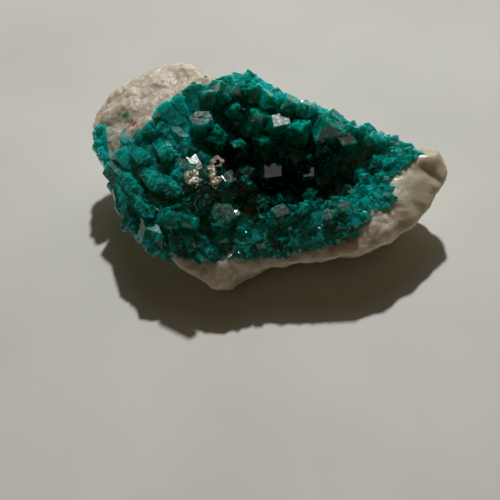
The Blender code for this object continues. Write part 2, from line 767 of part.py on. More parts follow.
def material(name, colour, roughness, transmission):
    """A plain material with the part's colour."""
    made = bpy.data.materials.new(name)
    made.use_nodes = True
    surface = made.node_tree.nodes["Principled BSDF"]
    surface.inputs["Base Color"].default_value = (*colour, 1)
    surface.inputs["Roughness"].default_value = roughness
    surface.inputs["Metallic"].default_value = 0.0
    surface.inputs["Transmission Weight"].default_value = transmission
    return made


def finish(made, look):
    """Gives an object its material, its place over the origin and its size in metres."""
    made.data.materials.clear()
    made.data.materials.append(look)
    made.data.transform(Matrix.Translation(TO_ORIGIN))
    made.data.transform(Matrix.Scale(METRES_PER_MM, 4))


def build():
    """Makes every piece of the specimen."""
    for old in list(bpy.data.objects):
        bpy.data.objects.remove(old)
    calcite = calcite_body("calcite_matrix")
    crystals = []
    add_faced_crystals(crystals)
    add_long_crystals(crystals)
    add_fill_crystals(crystals)
    green = crust("dioptase_crust", CRUST_EDGE, crystals, calcite)
    patch = crust("dioptase_side_patch", SIDE_PATCH_EDGE, patch_crystals(), calcite)
    bits = []
    for name, lumps in PERCHED:
        bit = perched_bit(name, lumps)
        combine(green, swollen(bit), "DIFFERENCE", CROWDED_SOLVER)
        bits.append(bit)
    keep_largest_body(green)
    join_flat_faces(green)
    join_flat_faces(patch)
    calcite_look = material(
        "calcite", CALCITE_COLOUR, CALCITE_ROUGHNESS, CALCITE_TRANSMISSION
    )
    dioptase_look = material(
        "dioptase", DIOPTASE_COLOUR, DIOPTASE_ROUGHNESS, DIOPTASE_TRANSMISSION
    )
    for piece, look in ((calcite, calcite_look), (green, dioptase_look), (patch, dioptase_look)):
        finish(piece, look)
    for bit in bits:
        finish(bit, calcite_look)


build()
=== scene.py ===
import math
import random

import bmesh
import bpy
from mathutils import Matrix, Vector, noise
from mathutils.bvhtree import BVHTree


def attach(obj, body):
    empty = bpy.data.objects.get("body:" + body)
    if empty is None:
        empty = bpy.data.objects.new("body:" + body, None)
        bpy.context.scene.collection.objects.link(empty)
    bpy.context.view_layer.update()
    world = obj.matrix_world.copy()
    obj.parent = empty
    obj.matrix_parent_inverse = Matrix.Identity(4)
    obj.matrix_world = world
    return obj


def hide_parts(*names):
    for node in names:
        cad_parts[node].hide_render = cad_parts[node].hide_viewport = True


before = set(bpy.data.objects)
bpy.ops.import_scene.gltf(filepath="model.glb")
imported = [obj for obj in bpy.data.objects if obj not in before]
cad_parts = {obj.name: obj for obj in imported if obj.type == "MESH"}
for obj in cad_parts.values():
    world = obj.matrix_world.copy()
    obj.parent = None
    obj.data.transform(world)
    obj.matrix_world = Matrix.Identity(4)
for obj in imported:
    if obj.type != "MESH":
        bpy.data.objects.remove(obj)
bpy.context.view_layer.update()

mm = 0.001  # the script thinks in millimetres, Blender in metres
scene = bpy.context.scene


# Small helpers

def linearColour(hexColour):
    channels = [int(hexColour[place:place + 2], 16) / 255 for place in (1, 3, 5)]
    bent = [c / 12.92 if c <= 0.04045 else ((c + 0.055) / 1.055) ** 2.4 for c in channels]
    return (*bent, 1.0)


def addNode(tree, kind, inputs=None, **settings):
    node = tree.nodes.new(kind)
    for name, value in settings.items():
        setattr(node, name, value)
    for socket, value in (inputs or {}).items():
        if isinstance(value, bpy.types.NodeSocket):
            tree.links.new(value, node.inputs[socket])
        else:
            node.inputs[socket].default_value = value
    return node


def perMillimetre(size):
    return 1000.0 / size  # texture scale of a pattern whose repeat is this many mm


def setRamp(node, stops):
    ramp = node.color_ramp
    while len(ramp.elements) > 1:
        ramp.elements.remove(ramp.elements[-1])
    ramp.elements[0].position = stops[0][0]
    ramp.elements[0].color = linearColour(stops[0][1])
    for position, colour in stops[1:]:
        ramp.elements.new(position).color = linearColour(colour)


def newMaterial(name):
    material = bpy.data.materials.new(name)
    material.use_nodes = True
    material.node_tree.nodes.clear()
    return material, material.node_tree


def nodeShape(nodeName):
    shape = bmesh.new()
    shape.from_mesh(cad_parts[nodeName].data)
    bmesh.ops.remove_doubles(shape, verts=shape.verts[:], dist=0.001 * mm)
    return shape


def newObject(name, shape):
    mesh = bpy.data.meshes.new(name)
    shape.to_mesh(mesh)
    shape.free()
    made = bpy.data.objects.new(name, mesh)
    scene.collection.objects.link(made)
    return made


def settle(made):
    graph = bpy.context.evaluated_depsgraph_get()
    mesh = bpy.data.meshes.new_from_object(made.evaluated_get(graph))
    made.modifiers.clear()
    old = made.data
    made.data = mesh
    bpy.data.meshes.remove(old)


def evenFaces(made, size):
    step = made.modifiers.new("even", "REMESH")
    step.mode = "VOXEL"
    step.voxel_size = size * mm
    settle(made)
    shape = bmesh.new()
    shape.from_mesh(made.data)
    return shape


def smoothOnce(shape, points):
    bmesh.ops.smooth_vert(
        shape, verts=points, factor=0.5, use_axis_x=True, use_axis_y=True, use_axis_z=True
    )


def combine(body, other, operation="UNION"):
    step = body.modifiers.new("step", "BOOLEAN")
    step.operation = operation
    step.solver = "MANIFOLD"
    step.object = other
    settle(body)
    mesh = other.data
    bpy.data.objects.remove(other)
    bpy.data.meshes.remove(mesh)


def dress(made, material, nodeName):
    made.data.materials.clear()
    made.data.materials.append(material)
    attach(made, "root")
    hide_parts(nodeName)
    print("dressed", nodeName, "with", len(made.data.polygons), "faces")


# Camera, at the height and roll that the specimen is seen from

camera = {
    "pitch": 47.0,
    "roll": 8.45,
    "place": (-4.8, -152.04, 151.44),
    "lens": 86.3,
    "sensorWidth": 36.0,
    "nearest": 10.0,
    "furthest": 20000.0,
}


def makeCamera():
    pitch = math.radians(camera["pitch"])
    roll = math.radians(camera["roll"])
    level = Vector((1, 0, 0))
    above = Vector((0, math.sin(pitch), math.cos(pitch)))
    back = Vector((0, -math.cos(pitch), math.sin(pitch)))
    across = level * math.cos(roll) - above * math.sin(roll)
    up = level * math.sin(roll) + above * math.cos(roll)
    data = bpy.data.cameras.new("camera")
    data.sensor_width = camera["sensorWidth"]
    data.lens = camera["lens"]
    data.clip_start = camera["nearest"] * mm
    data.clip_end = camera["furthest"] * mm
    made = bpy.data.objects.new("camera", data)
    made.matrix_world = Matrix((across, up, back)).transposed().to_4x4()
    made.location = Vector(camera["place"]) * mm
    scene.collection.objects.link(made)
    scene.camera = made


# Light: one small lamp behind and a little right, a wide dim card on the same side, and a warm dim room

light = {
    "aim": (-0.6, -4.3, 14.0),
    "bearing": 76.0,
    "rise": 48.0,
    "keyDistance": 1100.0,
    "keySize": 60.0,
    "keyPower": 10.0,
    "cardDistance": 900.0,
    "cardSize": 620.0,
    "cardPower": 0.55,
    "sky": "#ccb088",
    "skyStrength": 0.09,
}


def makeAreaLight(name, distance, size, power):
    bearing = math.radians(light["bearing"])
    rise = math.radians(light["rise"])
    level = math.cos(rise)
    toward = Vector((math.cos(bearing) * level, math.sin(bearing) * level, math.sin(rise)))
    data = bpy.data.lights.new(name, "AREA")
    data.shape = "DISK"
    data.size = size * mm
    data.energy = power
    made = bpy.data.objects.new(name, data)
    made.location = (Vector(light["aim"]) + toward * distance) * mm
    made.rotation_euler = toward.to_track_quat("Z", "Y").to_euler()
    scene.collection.objects.link(made)


def makeLight():
    makeAreaLight("keyLight", light["keyDistance"], light["keySize"], light["keyPower"])
    makeAreaLight("cardLight", light["cardDistance"], light["cardSize"], light["cardPower"])
    world = bpy.data.worlds.new("studio")
    world.use_nodes = True
    tree = world.node_tree
    tree.nodes.clear()
    sky = addNode(tree, "ShaderNodeBackground", {
        "Color": linearColour(light["sky"]), "Strength": light["skyStrength"],
    })
    addNode(tree, "ShaderNodeOutputWorld", {"Surface": sky.outputs[0]})
    scene.world = world
    scene.view_settings.view_transform = "Standard"


# Floor

floor = {
    "size": 1600.0,
    "colour": "#d5d5ce",
    "darker": "#ccccc5",
    "mottle": 40.0,
    "roughness": 0.7,
}


def paleCard():
    # uncoated white board: matt, faintly mottled
    material, tree = newMaterial("uncoatedBoard")
    place = addNode(tree, "ShaderNodeTexCoord").outputs["Object"]
    mottle = addNode(tree, "ShaderNodeTexNoise", {
        "Vector": place, "Scale": perMillimetre(floor["mottle"]), "Detail": 3.0,
    })
    colours = addNode(tree, "ShaderNodeValToRGB", {"Fac": mottle.outputs["Fac"]})
    setRamp(colours, [(0.35, floor["darker"]), (0.65, floor["colour"])])
    shader = addNode(tree, "ShaderNodeBsdfPrincipled", {
        "Base Color": colours.outputs["Color"], "Roughness": floor["roughness"],
    })
    addNode(tree, "ShaderNodeOutputMaterial", {"Surface": shader.outputs[0]})
    return material


def makeFloor():
    shape = bmesh.new()
    bmesh.ops.create_grid(shape, x_segments=1, y_segments=1, size=floor["size"] / 2 * mm)
    made = newObject("floor", shape)
    made.data.materials.append(paleCard())


# Calcite: granular and dull on the left and underneath, smooth and glassy at the right tip

calcite = {
    "meshSize": 0.36,
    "smoothing": 3,
    "swell": 0.2,  # outward all over, against what the smoothing takes off
    "grainSize": 1.1,
    "grainRelief": 0.2,
    "grainLevel": 0.45,
    "lumpSize": 3.6,
    "lumpRelief": 0.5,
    "fineSize": 0.9,
    "fineRelief": 0.14,
    "tipFrom": 17.5,  # the grain fades to the glassy tip between these two, along X
    "tipTo": 23.5,
    "tipRelief": 0.26,
    "footFade": 1.2,  # and to the flat underside over this height
    "pale": "#d8d1c1",
    "mid": "#d2c7b5",
    "dark": "#b6a995",
    "tipColour": "#c2baa0",
    "cloudSize": 2.0,
    "shadeSize": 0.9,
    "shade": (0.84, 1.1),
    "roughness": (0.32, 0.7),
    "sugarSize": 0.5,
    "sugarDepth": 0.2,
    "sugarStrength": (0.36, 0.1),
    "ior": 1.6,
    "scatterWeight": 0.85,
    "scatterRadius": (1.0, 0.8, 0.6),
    "scatterDepth": 3.6,
    "stainStrength": 0.85,
    "stainEdge": 0.7,
    "stainFade": (1.7, 2.0),  # in reaches, of which the ragged edge takes about one
    "stains": [  # middle, reach and colour
        ((-21.5, 9.4, 14.4), 1.3, "#9a4f1e"),
        ((-22.7, 12.1, 14.5), 1.0, "#0c9c86"),
        ((-22.5, 9.1, 14.0), 0.7, "#0c9c86"),
        ((-23.5, 8.8, 13.5), 0.9, "#12a08c"),
        ((-24.2, 7.7, 12.9), 1.0, "#12a08c"),
        ((28.2, -7.5, 12.0), 0.9, "#84683c"),
    ],
}


def stainedCalcite(tree, place, surface):
    # each stain is a ball round its middle, with a ragged edge
    edges = addNode(tree, "ShaderNodeTexNoise", {
        "Vector": place, "Scale": perMillimetre(calcite["stainEdge"]), "Detail": 4.0,
    })
    for middle, reach, colour in calcite["stains"]:
        away = addNode(tree, "ShaderNodeVectorMath", {
            0: place, 1: Vector(middle) * mm,
        }, operation="DISTANCE")
        ragged = addNode(tree, "ShaderNodeMath", {
            0: edges.outputs["Fac"], 1: 2 * reach * mm, 2: away.outputs["Value"],
        }, operation="MULTIPLY_ADD")
        stained = addNode(tree, "ShaderNodeMapRange", {
            "Value": ragged.outputs["Value"],
            "From Min": calcite["stainFade"][0] * reach * mm,
            "From Max": calcite["stainFade"][1] * reach * mm,
            "To Min": calcite["stainStrength"],
            "To Max": 0.0,
        })
        surface = addNode(tree, "ShaderNodeMix", {
            "Factor": stained.outputs["Result"], "A": surface, "B": linearColour(colour),
        }, data_type="RGBA").outputs["Result"]
    return surface


def calciteMaterial():
    # sugary calcite, a mass of small grown-together grains: soft, a little see-through, smoother at the tip
    material, tree = newMaterial("sugaryCalcite")
    place = addNode(tree, "ShaderNodeTexCoord").outputs["Object"]
    cloud = addNode(tree, "ShaderNodeTexNoise", {
        "Vector": place, "Scale": perMillimetre(calcite["cloudSize"]), "Detail": 5.0, "Roughness": 0.7,
    })
    colours = addNode(tree, "ShaderNodeValToRGB", {"Fac": cloud.outputs["Fac"]})
    setRamp(colours, [(0.3, calcite["dark"]), (0.5, calcite["mid"]), (0.72, calcite["pale"])])
    grains = addNode(tree, "ShaderNodeTexVoronoi", {
        "Vector": place, "Scale": perMillimetre(calcite["shadeSize"]),
    })
    grainShade = addNode(tree, "ShaderNodeMapRange", {
        "Value": grains.outputs["Color"], "To Min": calcite["shade"][0], "To Max": calcite["shade"][1],
    })
    shaded = addNode(tree, "ShaderNodeMix", {
        "Factor": 1.0, "A": colours.outputs["Color"], "B": grainShade.outputs["Result"],
    }, data_type="RGBA", blend_type="MULTIPLY")
    across = addNode(tree, "ShaderNodeSeparateXYZ", {"Vector": place})
    tip = addNode(tree, "ShaderNodeMapRange", {
        "Value": across.outputs["X"],
        "From Min": calcite["tipFrom"] * mm,
        "From Max": calcite["tipTo"] * mm,
    }, interpolation_type="SMOOTHSTEP")
    coloured = addNode(tree, "ShaderNodeMix", {
        "Factor": tip.outputs["Result"],
        "A": shaded.outputs["Result"],
        "B": linearColour(calcite["tipColour"]),
    }, data_type="RGBA")
    dull = addNode(tree, "ShaderNodeMapRange", {
        "Value": grains.outputs["Color"],
        "To Min": calcite["roughness"][0],
        "To Max": calcite["roughness"][1],
    })
    facets = addNode(tree, "ShaderNodeTexVoronoi", {
        "Vector": place, "Scale": perMillimetre(calcite["sugarSize"]),
    })
    sugar = addNode(tree, "ShaderNodeMapRange", {
        "Value": tip.outputs["Result"],
        "To Min": calcite["sugarStrength"][0],
        "To Max": calcite["sugarStrength"][1],
    })
    relief = addNode(tree, "ShaderNodeBump", {
        "Strength": sugar.outputs["Result"],
        "Distance": calcite["sugarDepth"] * mm,
        "Height": facets.outputs["Distance"],
    })
    shader = addNode(tree, "ShaderNodeBsdfPrincipled", {
        "Base Color": stainedCalcite(tree, place, coloured.outputs["Result"]),
        "Roughness": dull.outputs["Result"],
        "IOR": calcite["ior"],
        "Subsurface Weight": calcite["scatterWeight"],
        "Subsurface Radius": calcite["scatterRadius"],
        "Subsurface Scale": calcite["scatterDepth"] * mm,
        "Normal": relief.outputs["Normal"],
    })
    addNode(tree, "ShaderNodeOutputMaterial", {"Surface": shader.outputs[0]})
    return material


def roughenCalcite(shape):
    tipLength = calcite["tipTo"] - calcite["tipFrom"]
    for point in shape.verts:
        place = point.co / mm
        grainDistances, _ = noise.voronoi(place / calcite["grainSize"])
        grain = (calcite["grainLevel"] - grainDistances[0]) * calcite["grainRelief"]
        lump = noise.noise(place / calcite["lumpSize"]) * calcite["lumpRelief"]
        fine = noise.noise(place / calcite["fineSize"]) * calcite["fineRelief"]
        tip = min(1.0, max(0.0, (place.x - calcite["tipFrom"]) / tipLength))
        strength = 1.0 + (calcite["tipRelief"] - 1.0) * tip
        foot = min(1.0, max(0.0, place.z / calcite["footFade"]))
        relief = (grain + lump + fine) * strength + calcite["swell"]
        point.co += point.normal * relief * foot * mm


def makeCalcite():
    made = newObject("calcite", nodeShape("calcite_matrix"))
    shape = evenFaces(made, calcite["meshSize"])
    for _ in range(calcite["smoothing"]):
        smoothOnce(shape, [point for point in shape.verts if point.co.z > calcite["meshSize"] * mm])
    shape.normal_update()
    roughenCalcite(shape)
    for point in shape.verts:
        point.co.z = max(0.0, point.co.z)
    shape.to_mesh(made.data)
    shape.free()
    dress(made, calciteMaterial(), "calcite_matrix")


# Dioptase: the crust's largest crystals come with the frame, and the smaller ones are grown on it here

dioptase = {
    "seed": 5,
    "endFaceSlope": 1.233,  # rise of the three end faces over their run
    "lengthInRadii": 3.6,
    "sizeSpread": (0.7, 1.3),
    # where one may start: clear of calcite and of other crystals in front, and not on a face that looks down
    "lift": 0.05,  # where the look ahead starts, above the face
    "calciteGap": 1.2,
    "crystalGap": 0.6,
    "lowestFacing": -0.2,
    "skinHeight": 1.25,  # higher than this above the calcite is a big crystal
    "groundGap": 1.2,  # in radii, from the floor
    # those that lie along the slope, the large ones among them as slabs
    "slopeWay": (0.35, -0.94, 0.0),
    "leastFlow": 0.35,  # none lies in a region with fewer than this
    "steepest": 0.62,  # nor where the calcite's normal has a smaller Z than this
    "slabRadius": 1.9,
    "stretch": (0.7, 1.2),
    "sway": 0.3,
    "rise": (-0.06, 0.16),
    "turn": 10.0,  # degrees about its own axis
    "edgeReach": 0.75,  # how far their ends and sides may be from the crust
    "sideReach": 1.0,  # in radii, where the sides are tested
    # greens, and how clear: the big crystals' faces are deeper than the small crystals round them
    "toneSpread": 0.25,
    "clearSpread": 0.12,
    "bigTone": -0.25,
    "bigToneSpread": 0.1,
    "bigClear": 0.04,
    "bigClearSpread": 0.05,
    "deep": "#008c70",
    "teal": "#00b8b0",
    # the veils' blue-green, also painted on the flecks as glints
    "veil": "#30d8cc",
    "veilSize": 1.7,
    "veilStrength": 0.75,
    "patchiness": 0.55,
    # flecks: painted glints, small bright spots that also make the crystal less clear
    "glintFleckSize": 0.75,
    "glintFleckRadius": (0.16, 0.3),
    "glintFleckShare": (0.62, 0.7),  # cells below the first have no fleck, those above the second a full one
    "veilHides": -0.3,  # what a veil, and a bluer patch, take off how clear it is
    "patchHides": -0.6,
    "polish": (0.02, 0.1),
    "worn": (0.5, 1.2),
    "ior": 1.66,
    "absorbColour": (0.0, 0.82, 0.78),
    "absorbPerMetre": 1200.0,
    "scatterRadius": (0.1, 1.0, 0.9),
    "scatterDepth": 3.2,
    # worn and broken faces that look frosted: middle, reach and how matt
    "frostedFaces": [
        ((-9.8, 5.1, 17.6), 2.6, 0.6),
        ((3.7, 2.8, 16.6), 2.6, 0.42),
        ((5.6, -2.5, 12.5), 1.5, 0.35),
    ],
    "frostedUp": 0.93,
    "frostedClear": 0.85,
    # faces that lie nearly level and shine like dark glass: the middle of each
    "levelFaces": [
        (1.1, -2.7, 10.3), (7.0, -4.6, 10.4), (1.1, -15.2, 13.0), (-3.9, -2.1, 10.3), (11.3, -16.4, 13.2),
        (8.5, -17.5, 12.6), (-8.6, -14.3, 13.2), (-2.0, -9.2, 9.8), (13.9, -3.2, 15.6),
    ],
    "levelReach": 2.2,
    "levelUp": 0.85,
    "levelClear": 0.94,
    # rounds of growth: points tried, which radius of the region they take, the chance of one on a big crystal,
    # how close two may stand, how far one stands out in radii, and how high the upper side of a lying one comes
    "rounds": [
        {
            "tries": 9000, "size": "slab", "onBig": 0.0,
            "spacing": 0.4, "stand": (0.0, 0.1), "top": (2.1, 2.8),
        },
        {
            "tries": 9000, "size": "broad", "onBig": 0.0,
            "spacing": 0.56, "stand": (0.1, 0.8), "top": (1.8, 2.6),
        },
        {
            "tries": 30000, "size": "fine", "onBig": 0.01,
            "spacing": 0.74, "stand": (0.1, 0.9), "top": (1.5, 2.1),
        },
    ],
    "cellSize": 2.0,  # of the grid that finds a crystal's neighbours
    "groupGap": 0.9,  # in radii, kept free round each crystal that joins the crust in the same step
    # regions of the crust, each round a place (x, y): radius of the broad and of the fine crystals, how much
    # the fine ones cover, how far one leans in degrees, how many lie along the slope, how blue, and how clear
    "regionSoftness": 0.5,
    "regionColumns": ("broad", "fine", "cover", "lean", "flow", "tone", "clear"),
    "regions": [
        # left slope
        (-22.0, -2.0, 1.5, 0.40, 0.35, 16, 1.0, 0.9, 0.58),
        (-18.0, -3.6, 1.8, 0.40, 0.35, 16, 1.0, 0.85, 0.60),
        (-25.4, -6.0, 0.5, 0.34, 0.9, 16, 0.4, 0.9, 0.53),
        (-14.0, 3.0, 1.5, 0.40, 0.4, 18, 0.9, 0.9, 0.51),
        (-13.6, 7.7, 0.7, 0.36, 0.8, 22, 0.7, 1.1, 0.42),
        (-20.0, 3.0, 1.1, 0.38, 0.5, 18, 1.0, 1.0, 0.49),
        (-17.6, -8.0, 1.8, 0.45, 0.3, 18, 1.0, 0.55, 0.72),
        (-23.4, -11.0, 0.5, 0.36, 0.9, 24, 0.3, 0.8, 0.59),
        # back wall and its rim
        (-7.0, 12.0, 1.5, 0.60, 0.4, 30, 0.0, 0.5, 0.50),
        (-3.0, 11.0, 1.5, 0.60, 0.4, 30, 0.0, 0.5, 0.50),
        (2.5, 9.5, 0.7, 0.48, 0.9, 34, 0.0, 1.1, 0.30),
        (5.6, 6.7, 0.7, 0.45, 0.9, 34, 0.0, 1.1, 0.28),
        (8.4, 4.4, 0.8, 0.48, 0.8, 34, 0.0, 0.9, 0.20),
        (0.0, 5.0, 1.7, 0.70, 0.1, 28, 0.0, 0.35, 0.26),
        (8.0, 0.0, 1.7, 0.70, 0.1, 28, 0.0, 0.35, 0.34),
        # bottom of the hollow
        (-7.0, -2.0, 1.5, 0.60, 0.2, 28, 0.0, 0.4, 0.96),
        (4.0, -4.0, 1.5, 0.70, 0.1, 28, 0.0, 0.3, 0.92),
        (11.0, -7.0, 1.2, 0.50, 0.2, 30, 0.0, 0.4, 0.88),
        # right end
        (17.4, -4.1, 0.7, 0.50, 0.9, 36, 0.0, 0.8, 0.38),
        (20.4, -6.3, 0.7, 0.45, 0.9, 36, 0.0, 0.8, 0.38),
        (23.5, -7.7, 0.7, 0.45, 0.9, 36, 0.0, 0.9, 0.36),
        (17.4, -9.0, 0.8, 0.50, 0.9, 36, 0.0, 0.9, 0.44),
        (19.4, -12.0, 0.7, 0.48, 0.9, 36, 0.0, 0.9, 0.44),
        (13.4, -16.5, 0.7, 0.42, 0.9, 38, 0.0, 0.8, 0.56),
        # front rim
        (7.2, -19.0, 0.6, 0.38, 1.0, 38, 0.0, 0.9, 0.80),
        (0.6, -19.0, 0.6, 0.38, 1.0, 38, 0.0, 0.9, 0.80),
        (-5.8, -18.5, 0.6, 0.38, 1.0, 38, 0.0, 0.9, 0.76),
        (-12.4, -17.5, 0.8, 0.40, 0.7, 34, 0.6, 0.8, 0.59),
        (-18.6, -15.0, 0.5, 0.36, 0.9, 30, 0.3, 0.8, 0.55),
        # the large dark crystals between it and the hollow
        (-6.0, -11.0, 1.4, 0.55, 0.1, 28, 0.0, 0.3, 1.18),
        (-12.0, -9.0, 1.3, 0.50, 0.15, 22, 0.6, 0.3, 1.14),
        # side patch
        (-28.0, 9.0, 0.5, 0.36, 1.0, 20, 0.0, 1.2, 0.15),
    ],
}
flatRadius = math.sqrt(0.75)  # from a crystal's axis to the middle of a side, in radii


def crystalShape(lengthInRadii):
    # six-sided prism of radius 1, tip at the origin, closed by three faces that fall toward alternate edges
    shape = bmesh.new()
    bmesh.ops.create_cone(shape, cap_ends=True, segments=6, radius1=1, radius2=1, depth=lengthInRadii)
    bmesh.ops.translate(shape, verts=shape.verts, vec=(0, 0, -lengthInRadii / 2))
    shape.verts.ensure_lookup_table()
    corner = math.atan2(shape.verts[0].co.y, shape.verts[0].co.x)
    turn = Matrix.Rotation(math.pi / 6 - corner, 3, "Z")
    bmesh.ops.rotate(shape, verts=shape.verts, matrix=turn)
    slope = dioptase["endFaceSlope"]
    for third in range(3):
        bearing = math.pi / 6 + third * math.tau / 3
        cut = bmesh.ops.bisect_plane(
            shape,
            geom=shape.verts[:] + shape.edges[:] + shape.faces[:],
            plane_co=(0, 0, 0),
            plane_no=(slope * math.cos(bearing), slope * math.sin(bearing), 1),
            clear_outer=True,
            dist=1e-6,
        )
        edges = [part for part in cut["geom_cut"] if isinstance(part, bmesh.types.BMEdge)]
        bmesh.ops.edgeloop_fill(shape, edges=edges)
    for attribute in ("tone", "clear"):
        shape.faces.layers.float.new(attribute)
    return shape


def regionAt(place):
    # the regions' values, weighed by how near each one is
    total = [0.0] * len(dioptase["regionColumns"])
    weight = 0.0
    for x, y, *values in dioptase["regions"]:
        near = 1 / ((place.x - x) ** 2 + (place.y - y) ** 2 + dioptase["regionSoftness"]) ** 2
        weight += near
        total = [have + near * value for have, value in zip(total, values)]
    return {name: value / weight for name, value in zip(dioptase["regionColumns"], total)}


def outerPoints(shape, calciteTree, crustTree, chance, count):
    # seeded points on the crust's open side, as many on each face as its area calls for
    faces = shape.faces[:]
    bareSpots = [(middle, reach) for middle, reach, _ in dioptase["frostedFaces"]]
    bareSpots += [(middle, dioptase["levelReach"]) for middle in dioptase["levelFaces"]]
    picks = chance.choices(faces, weights=[face.calc_area() for face in faces], k=count)
    for face in picks:
        a, b, c = [corner.co for corner in face.verts[:3]]
        u, v = sorted((chance.random(), chance.random()))
        place = a * u + b * (v - u) + c * (1 - v)
        outward = face.normal
        lifted = place + outward * dioptase["lift"] * mm
        if outward.z < dioptase["lowestFacing"]:
            continue
        if calciteTree.ray_cast(lifted, outward, dioptase["calciteGap"] * mm)[0]:
            continue
        if crustTree.ray_cast(lifted, outward, dioptase["crystalGap"] * mm)[0]:
            continue
        if any((place - Vector(middle) * mm).length < reach * mm for middle, reach in bareSpots):
            continue
        yield place


def crowded(place, radius, spacing, cells):
    cell = [math.floor(value / (dioptase["cellSize"] * mm)) for value in place]
    for dx in (-1, 0, 1):
        for dy in (-1, 0, 1):
            for dz in (-1, 0, 1):
                for spot, size in cells.get((cell[0] + dx, cell[1] + dy, cell[2] + dz), ()):
                    if (place - spot).length < spacing * (radius + size) * mm:
                        return True
    cells.setdefault(tuple(cell), []).append((place, radius))
    return False


def lyingCrystal(seat, facing, radius, top, chance):
    # lies along the slope with a long side up, its middle sunk so that this side comes to the given height
    slopeWay = Vector(dioptase["slopeWay"])
    along = (slopeWay - facing * facing.dot(slopeWay)).normalized()
    sway = facing.cross(along) * chance.uniform(-dioptase["sway"], dioptase["sway"])
    axis = (along + facing * chance.uniform(*dioptase["rise"]) + sway).normalized()
    stretch = chance.uniform(*dioptase["stretch"])
    ahead = axis * radius * stretch * dioptase["lengthInRadii"] / 2 * mm
    middle = seat + facing * (top - radius * flatRadius) * mm
    upright = (facing - axis * facing.dot(axis)).normalized()
    rolled = math.radians(chance.uniform(-dioptase["turn"], dioptase["turn"]))
    across = Matrix.Rotation(rolled, 3, axis) @ upright
    turn = Matrix((across, axis.cross(across), axis)).transposed().to_4x4()
    return middle + ahead, middle - ahead, turn, stretch


def overhangs(seat, facing, radius, top, tip, tail, crustTree):
    middle = seat + facing * (top - radius * flatRadius) * mm
    aside = (tip - tail).normalized().cross(facing) * radius * dioptase["sideReach"] * mm
    rims = (tip, tail, middle + aside, middle - aside)
    return any(crustTree.find_nearest(rim)[3] > dioptase["edgeReach"] * mm for rim in rims)


def standingCrystal(place, facing, radius, lean, stand, chance):
    sideways = facing.orthogonal().normalized()
    tilt = Matrix.Rotation(math.radians(chance.uniform(0, lean)), 3, sideways)
    axis = Matrix.Rotation(chance.uniform(0, math.tau), 3, facing) @ tilt @ facing
    tip = place + axis * radius * chance.uniform(*stand) * mm
    tail = tip - axis * radius * dioptase["lengthInRadii"] * mm
    across = Matrix.Rotation(chance.uniform(0, math.tau), 3, axis) @ axis.orthogonal().normalized()
    turn = Matrix((across, axis.cross(across), axis)).transposed().to_4x4()
    return tip, tail, turn, 1.0


def growCrystals(shape, calciteTree, crustTree):
    chance = random.Random(dioptase["seed"])
    grown = []
    cells = {}
    for growth in dioptase["rounds"]:
        size = growth["size"]
        for place in outerPoints(shape, calciteTree, crustTree, chance, growth["tries"]):
            seat, facing, _, height = calciteTree.find_nearest(place)
            region = regionAt(place / mm)
            lies = chance.random() < region["flow"] and region["flow"] > dioptase["leastFlow"]
            if lies and abs(facing.z) < dioptase["steepest"] or size == "slab" and not lies:
                continue
            radius = region.get(size, dioptase["slabRadius"]) * chance.uniform(*dioptase["sizeSpread"])
            onBig = height > dioptase["skinHeight"] * mm
            if onBig and (size == "broad" or chance.random() > growth["onBig"] * region["cover"]):
                continue
            if size == "fine" and chance.random() > region["cover"]:
                continue
            if facing.dot(place - seat) < 0:
                facing = -facing
            if lies:
                top = chance.uniform(*growth["top"])
                tip, tail, turn, stretch = lyingCrystal(seat, facing, radius, top, chance)
                if overhangs(seat, facing, radius, top, tip, tail, crustTree):
                    continue
            else:
                tip, tail, turn, stretch = standingCrystal(
                    place, facing, radius, region["lean"], growth["stand"], chance
                )
            if min(tip.z, tail.z) < dioptase["groundGap"] * radius * mm:
                continue
            if crowded(place, radius, growth["spacing"], cells):
                continue
            tone = region["tone"] + chance.uniform(-dioptase["toneSpread"], dioptase["toneSpread"])
            clear = region["clear"] + chance.uniform(-dioptase["clearSpread"], dioptase["clearSpread"])
            grown.append((tip, turn, radius, stretch, tone, clear))
    return grown


def sortApart(grown):
    # groups in which no crystal touches another, so that each group joins the crust in one clean step
    reach = dioptase["lengthInRadii"] / 2
    groups = []
    for crystal in grown:
        tip, turn, radius, stretch, _, _ = crystal
        middle = tip - turn.to_3x3() @ Vector((0, 0, radius * reach * stretch)) * mm
        span = radius * (reach * stretch + dioptase["groupGap"]) * mm
        for group in groups:
            if all((middle - other).length > span + size for other, size, _ in group):
                group.append((middle, span, crystal))
                break
        else:
            groups.append([(middle, span, crystal)])
    return [[crystal for _, _, crystal in group] for group in groups]


def crystalGroup(group, pattern):
    together = bmesh.new()
    for tip, turn, radius, stretch, tone, clear in group:
        firstPoint = len(together.verts)
        firstFace = len(together.faces)
        together.from_mesh(pattern)
        together.verts.ensure_lookup_table()
        together.faces.ensure_lookup_table()
        longer = Matrix.Scale(stretch, 4, (0, 0, 1))
        place = Matrix.Translation(tip) @ turn @ Matrix.Scale(radius * mm, 4) @ longer
        bmesh.ops.transform(together, matrix=place, verts=together.verts[firstPoint:])
        layers = together.faces.layers.float
        for face in together.faces[firstFace:]:
            face[layers["tone"]] = tone
            face[layers["clear"]] = clear
    return newObject("group", together)


def nearLevelFace(middle):
    return any((middle - Vector(spot)).length < dioptase["levelReach"] for spot in dioptase["levelFaces"])


